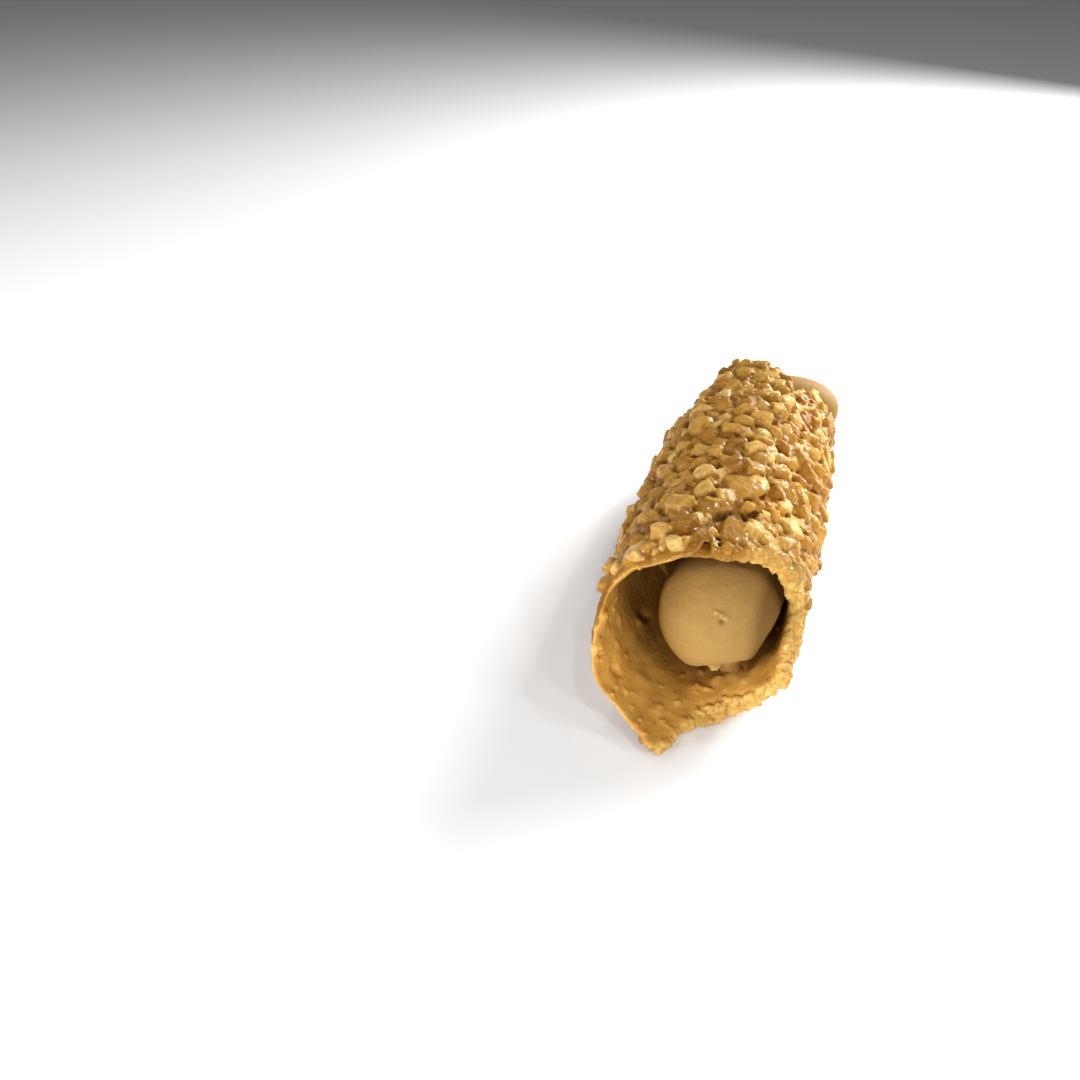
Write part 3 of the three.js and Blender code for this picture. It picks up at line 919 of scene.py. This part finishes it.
# Crumbs on the ball: place, length, thickness share, kind, turn.
CREAM_CRUMBS = [
    ((5.0, -41.2, 12.4), 2.2, 0.9, 0, 0.7), ((4.3, -41.2, 13.0), 1.3, 1.0, 2, 0.2),
    ((5.4, -41.2, 25.15), 1.7, 0.7, 6, 0.4), ((3.7, -41.05, 25.6), 0.8, 0.9, 1, 0.2),
]
# Soft cream that hangs from the ball down to the wall: place, length, thickness share, kind, turn.
CREAM_SMEAR = [
    ((7.6, -36.2, 8.8), 4.2, 0.6, 3, 0.3), ((9.2, -35.4, 7.6), 3.4, 0.7, 4, 0.9),
    ((6.3, -36.8, 7.9), 2.2, 0.7, 8, 1.2),
]


def smooth_least(values, limit, width):
    """The values held under a limit, with a rounded turn."""
    over = np.clip((values - limit + width) / (2 * width), 0, 1)
    return np.where(values - limit > width, limit, values - width * over**2)


def melt_in(cream, pieces, crumb_kinds, voxel, softening):
    """Joins small pieces to the cream as one skin."""
    for place, size, thick, kind, turn in pieces:
        shape, faces = crumb_kinds[kind]
        shape = shape * (size, size, size * thick) @ turned(turn, 0.3, 0.2).T
        join(cream, new_piece("cream_crumb", shape + place, faces))
    melt(cream, voxel, softening)


def make_cream(crumb_kinds):
    """The filling as one skin, pressed and marked, with its smear and crumbs."""
    cream, bulge = cream_log(), cream_bulge()
    for piece in (cream, bulge):
        turn_faces_out(piece)
    join(cream, bulge)
    cream.name = cream.data.name = "cream_filling"
    melt(cream, 0.5, 6)

    points = coordinates(cream) / MM
    middle = middle_of(BALL)
    near = 1 - smooth(-17, -9, points[:, 1])
    for direction, reach in PRESSED:
        direction = np.array(direction) / np.linalg.norm(direction)
        height = (points - middle) @ direction
        pressed = smooth_least(height, reach, PRESS_EDGE)
        points += (near * (pressed - height))[:, None] * direction
    set_coordinates(cream, points * MM)

    melt_in(cream, CREAM_SMEAR, crumb_kinds, 0.4, 7)
    melt_in(cream, CREAM_CRUMBS, crumb_kinds, 0.3, 2)

    points = coordinates(cream) / MM
    near = 1 - smooth(-27, -19, points[:, 1])
    outward = points - middle
    outward /= np.maximum(np.linalg.norm(outward, axis=1, keepdims=True), 1e-6)
    lumps = 0.2 * grain(points, 6.5, 21) + 0.05 * grain(points, 1.3, 22, 2)
    for direction, radius, lift in CREAM_MARKS:
        place = middle + np.array(direction) * BALL["radius"]
        gap = np.linalg.norm(points - place, axis=1) / radius
        lumps += lift * np.exp(-(gap**2) * 1.5)
    points += outward * (near * lumps)[:, None]
    set_coordinates(cream, points * MM)
    crumb = np.zeros(len(points))
    for place, size, *_ in CREAM_CRUMBS:
        gap = np.linalg.norm(points - place, axis=1) / size
        crumb = np.maximum(crumb, smooth(0.62, 0.40, gap))
    set_attribute(cream, "crumb", crumb)
    make_active(cream)
    bpy.ops.object.shade_smooth()
    return cream


# ---- finishes ----

class Finish:
    """A material and its node tree, with short ways to add and link nodes."""

    def __init__(self, name):
        self.material = bpy.data.materials.new(name)
        self.material.use_nodes = True
        self.tree = self.material.node_tree
        self.shader = self.tree.nodes["Principled BSDF"]
        self.position = self.add("ShaderNodeTexCoord").outputs["Object"]

    def add(self, kind, **values):
        node = self.tree.nodes.new(kind)
        for name, value in values.items():
            if name in node.inputs:
                node.inputs[name].default_value = value
            else:
                setattr(node, name, value)
        return node

    def link(self, source, target):
        self.tree.links.new(source, target)

    def put(self, value, socket):
        """Gives a socket a number, a colour or what another node puts out."""
        if isinstance(value, bpy.types.NodeSocket):
            self.link(value, socket)
        else:
            socket.default_value = (*value, 1) if socket.type == "RGBA" else value

    def noise(self, per_metre, detail=3.0, roughness=0.55):
        node = self.add("ShaderNodeTexNoise", Scale=per_metre, Detail=detail, Roughness=roughness)
        self.link(self.position, node.inputs["Vector"])
        return node.outputs["Fac"]

    def axis(self, letter, low, high):
        node = self.add("ShaderNodeSeparateXYZ")
        self.link(self.position, node.inputs["Vector"])
        return self.span(node.outputs[letter], low, high)

    def attribute(self, name):
        return self.add("ShaderNodeAttribute", attribute_name=name).outputs["Fac"]

    def ramp(self, source, stops):
        node = self.add("ShaderNodeValToRGB")
        elements = node.color_ramp.elements
        while len(elements) < len(stops):
            elements.new(0.5)
        for element, (at, colour) in zip(elements, stops):
            element.position = at
            element.color = (*colour, 1)
        self.link(source, node.inputs["Fac"])
        return node.outputs["Color"]

    def span(self, source, low, high, to_low=0.0, to_high=1.0):
        node = self.add("ShaderNodeMapRange", interpolation_type="SMOOTHSTEP", **{
            "From Min": low, "From Max": high, "To Min": to_low, "To Max": to_high})
        self.link(source, node.inputs["Value"])
        return node.outputs["Result"]

    def math(self, operation, a, b):
        node = self.add("ShaderNodeMath", operation=operation)
        for socket, value in zip(node.inputs, (a, b)):
            self.put(value, socket)
        return node.outputs["Value"]

    def blend(self, factor, a, b, kind="MIX"):
        node = self.add("ShaderNodeMix", data_type="RGBA", blend_type=kind)
        sockets = [s for s in node.inputs if s.type == "RGBA"]
        for socket, value in zip((node.inputs[0], *sockets), (factor, a, b)):
            self.put(value, socket)
        return [s for s in node.outputs if s.type == "RGBA"][0]

    def shade(self, colour, by, share=1.0):
        """A colour multiplied by another."""
        return self.blend(share, colour, by, "MULTIPLY")

    def fade(self, letter, low, high, start, end):
        """A colour that turns into another along an axis."""
        return self.ramp(self.axis(letter, low, high), [(0, start), (1, end)])

    def bump(self, height, distance, after=None):
        node = self.add("ShaderNodeBump", Strength=1.0, Distance=distance)
        self.link(height, node.inputs["Height"])
        if after is not None:
            self.link(after, node.inputs["Normal"])
        return node.outputs["Normal"]

    def set(self, **values):
        for name, value in values.items():
            self.put(value, self.shader.inputs[name.replace("_", " ")])


CARAMEL_DARK = (0.200, 0.080, 0.008)
CARAMEL = (0.310, 0.140, 0.016)
CARAMEL_LIGHT = (0.400, 0.205, 0.030)
INSIDE_DARK = (0.40, 0.190, 0.034)
INSIDE = (0.56, 0.284, 0.055)
INSIDE_LIGHT = (0.68, 0.378, 0.085)
RIM = (0.66, 0.400, 0.105)
NUT_DEEP = (0.330, 0.160, 0.021)
NUT = (0.430, 0.235, 0.040)
NUT_LIGHT = (0.520, 0.310, 0.070)
NUT_PALE = (0.680, 0.460, 0.155)
# Painted shade in the crack and the grooves.
CRACK_SHADE = (0.045, 0.018, 0.004)
CREAM_CRUMB = (0.45, 0.29, 0.10)
CREAM_DARK, CREAM = (0.325, 0.188, 0.051), (0.38, 0.226, 0.067)
PLAIN = (1, 1, 1)  # shades nothing


def coat_finish():
    """Pastry in caramel: tan nuts, darker caramel pooled between them and glossy inside."""
    finish = Finish("nuts_in_caramel")
    broad, patch, fine = finish.noise(150, 4), finish.noise(520, 4), finish.noise(1500, 3)
    inside = finish.span(finish.attribute("depth"), 0.8, 1.0)
    # seam: how dark the painted shade in the grooves and the crack is.
    seam = finish.attribute("seam")
    uneven = finish.math("MULTIPLY", finish.math("SUBTRACT", patch, 0.5), 0.3)
    pooled = finish.math("ADD", finish.attribute("crest"), uneven)
    flecks = finish.ramp(fine, [
        (0.36, (0.74, 0.68, 0.58)), (0.5, PLAIN), (0.66, (1.22, 1.24, 1.3)),
    ])

    caramel = finish.ramp(broad, [(0.3, CARAMEL_DARK), (0.52, CARAMEL), (0.75, CARAMEL_LIGHT)])
    nut = finish.ramp(finish.attribute("tint"), [
        (0.0, CARAMEL_DARK), (0.16, NUT_DEEP), (0.55, NUT), (0.8, NUT_LIGHT), (1.0, NUT_PALE),
    ])
    nut = finish.shade(nut, finish.ramp(patch, [(0.3, (0.76, 0.70, 0.62)), (0.6, PLAIN)]), 0.7)
    nut = finish.shade(nut, flecks, 0.6)
    near_nut = finish.span(finish.attribute("bare"), 0.14, 0.36, 1.0, 0.0)
    on_nut = finish.math("MULTIPLY", finish.span(pooled, -0.24, 0.08), near_nut)
    # Painted light and shade: the outside is painted darker on its left side and lighter on its
    # right, as the light falls from the right.
    painted_side_light = finish.ramp(finish.axis("X", -0.014, 0.016), [
        (0, (0.80, 0.73, 0.62)), (0.55, (1, 0.98, 0.95)), (1, (1.25, 1.2, 1.1)),
    ])
    outer = finish.shade(finish.blend(on_nut, caramel, nut), painted_side_light)

    inner = finish.ramp(broad, [(0.28, INSIDE_DARK), (0.5, INSIDE), (0.72, INSIDE_LIGHT)])
    # Painted light: the inside's left wall is painted lighter, as it is lit.
    inner = finish.shade(inner, finish.fade("X", -0.018, -0.004, (1.2, 1.2, 1.18), PLAIN))
    # Painted shade: the inside is painted darker further back in the roll, where shade falls.
    inner = finish.shade(inner, finish.fade("Y", -0.040, -0.026, PLAIN, (0.42, 0.36, 0.3)))

    broken = finish.shade(finish.blend(0.6, nut, RIM), flecks, 0.5)
    broken = finish.blend(finish.span(pooled, -0.3, 0.0), caramel, broken)
    colour = finish.blend(finish.attribute("broken"), outer, broken)
    colour = finish.blend(inside, colour, inner)
    # Painted shade: the grooves and the crack are painted nearly black, as the shade in them.
    colour = finish.blend(finish.math("MULTIPLY", seam, 0.95), colour, CRACK_SHADE)

    drops = finish.span(finish.noise(1700, 1), 0.55, 0.61, 0.06, 0.8)
    wet = finish.span(finish.noise(300, 2), 0.46, 0.58, 0.2, 1)
    wet = finish.math("MULTIPLY", finish.axis("X", 0.004, -0.007), wet)
    wet = finish.math("MULTIPLY", wet, inside)
    off_seam = finish.span(seam, 0.0, 0.3, 1.0, 0.0)
    gloss = finish.math("MULTIPLY", finish.math("MAXIMUM", drops, wet), off_seam)
    finish.set(
        Base_Color=colour, Coat_Weight=gloss, Roughness=finish.span(pooled, -0.2, 0.2, 0.42, 0.6),
        Normal=finish.bump(fine, 0.00010, after=finish.bump(patch, 0.00024)),
        Coat_Normal=finish.bump(patch, 0.0003),
    )
    finish.set(Specular_IOR_Level=0.08, Coat_Roughness=0.13, Subsurface_Weight=0.12,
               Subsurface_Scale=0.001, Subsurface_Radius=(1.0, 0.5, 0.16))
    return finish.material


def cream_finish():
    """Set cream, with painted shade on the front ball: the right wall's shadow on its right side,
    and shade on its left side and underneath.
    """
    finish = Finish("set_cream")
    broad, fine = finish.noise(110, 3), finish.noise(1400, 3, 0.6)
    colour = finish.ramp(broad, [(0.3, CREAM_DARK), (0.7, CREAM)])
    # Painted shade on the front ball: the right wall's shadow on its right side, shade by the left
    # wall on its left and under the ball.
    right = finish.fade("X", 0.0092, 0.0125, PLAIN, (0.56, 0.49, 0.40))
    left = finish.fade("X", -0.008, 0.001, (0.74, 0.72, 0.68), PLAIN)
    low = finish.fade("Z", 0.0084, 0.0106, (0.60, 0.50, 0.34), PLAIN)
    painted_shade = finish.shade(finish.shade(right, left), low)
    ahead = finish.axis("Y", -0.010, -0.020)
    colour = finish.blend(ahead, colour, finish.shade(colour, painted_shade))
    colour = finish.shade(colour, finish.ramp(fine, [(0.3, (0.88, 0.86, 0.82)), (0.6, PLAIN)]), 0.7)
    colour = finish.blend(finish.attribute("crumb"), colour, CREAM_CRUMB)
    finish.set(Base_Color=colour, Normal=finish.bump(fine, 0.00010))
    finish.set(Roughness=0.6, Specular_IOR_Level=0.12, Subsurface_Weight=0.2,
               Subsurface_Scale=0.0015, Subsurface_Radius=(1.0, 0.6, 0.3))
    return finish.material


def floor_finish():
    finish = Finish("pale_table")
    tone = finish.ramp(finish.noise(3, 2), [(0.2, (0.86, 0.86, 0.86)), (0.8, (0.9, 0.9, 0.9))])
    finish.set(Base_Color=tone)
    finish.set(Roughness=0.8)
    return finish.material


# ---- making ----

nut_kinds = [cut_nut(100 + k, 3 + k % 3, 0.075) for k in range(26)]
crumb_kinds = [cut_nut(300 + k, 3, 0) for k in range(14)]

sheet = sheet_start()
refine_mouth(sheet)
marks = sheet_marks(*shape_sheet(sheet))
beds = coat_nuts(nut_kinds, crumb_kinds)
rim_nuts(*beds)
inside_crumbs(beds[1])
coat = fuse_coat(sheet, beds)
mark_coat(coat, sheet, marks, beds)
roughen(coat)
carve_grooves(coat)
hold_in(coat, cad_box)
coat_pieces = cut_in_two(coat)
for piece in coat_pieces:
    flatten_caps(piece)
bpy.data.objects.remove(sheet)
cream = make_cream(crumb_kinds)

coat_material = coat_finish()
finished = [(piece, coat_material) for piece in coat_pieces] + [(cream, cream_finish())]
for piece, material in finished:
    piece.data.materials.clear()
    piece.data.materials.append(material)
    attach(piece, "root")
for piece in coat_pieces:
    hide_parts("shell")
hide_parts("cream")

# ---- floor, light and camera ----

deselect_all()
bpy.ops.mesh.primitive_plane_add(size=8, location=(0, 0, -0.0001))
floor = bpy.context.object
floor.name = "table"
floor.data.materials.append(floor_finish())


AIM = Vector((0, 0, 0.02))
LIGHT_DISTANCE = 0.6
# Lamps: name, turn round the table from +X, rise over it, width in metres and watts.
LAMPS = [
    ("window", 60, 25, 0.35, 7.2), ("front_left", 225, 10, 0.2, 2.2),
    ("front_right", 280, 12, 0.2, 2.0), ("left", 180, 50, 0.35, 0.5),
]
SPARKLES = [(300, 60), (350, 30), (20, 62), (245, 38), (320, 42), (160, 70)]  # turn and rise


def add_lamp(name, turn, rise, width, watts):
    turn, rise = math.radians(turn), math.radians(rise)
    flat = LIGHT_DISTANCE * math.cos(rise)
    height = LIGHT_DISTANCE * math.sin(rise) + 0.02
    data = bpy.data.lights.new(name, "AREA")
    data.shape, data.size, data.energy = "DISK", width, watts
    lamp = bpy.data.objects.new(name, data)
    lamp.location = (flat * math.cos(turn), flat * math.sin(turn), height)
    lamp.rotation_euler = (AIM - lamp.location).to_track_quat("-Z", "Y").to_euler()
    bpy.context.collection.objects.link(lamp)


for lamp in LAMPS:
    add_lamp(*lamp)
for turn, rise in SPARKLES:
    add_lamp(f"sparkle_{turn}", turn, rise, 0.006, 0.3)

world = bpy.data.worlds.new("studio")
world.use_nodes = True
background = world.node_tree.nodes["Background"]
background.inputs["Color"].default_value = (1, 1, 1, 1)
background.inputs["Strength"].default_value = 0.12
bpy.context.scene.world = world

CAMERA_PLACE = (0.014405, -0.169714, 0.136609)
CAMERA_TILT, CAMERA_TURN = 53, 19.383
camera_data = bpy.data.cameras.new("camera")
camera_data.lens = 30
camera_data.sensor_width = 36
camera_data.clip_start = 0.01
camera = bpy.data.objects.new("camera", camera_data)
camera.location = CAMERA_PLACE
camera.rotation_euler = (math.radians(CAMERA_TILT), 0, math.radians(CAMERA_TURN))
bpy.context.collection.objects.link(camera)
bpy.context.scene.camera = camera
bpy.context.scene.view_settings.view_transform = "Standard"
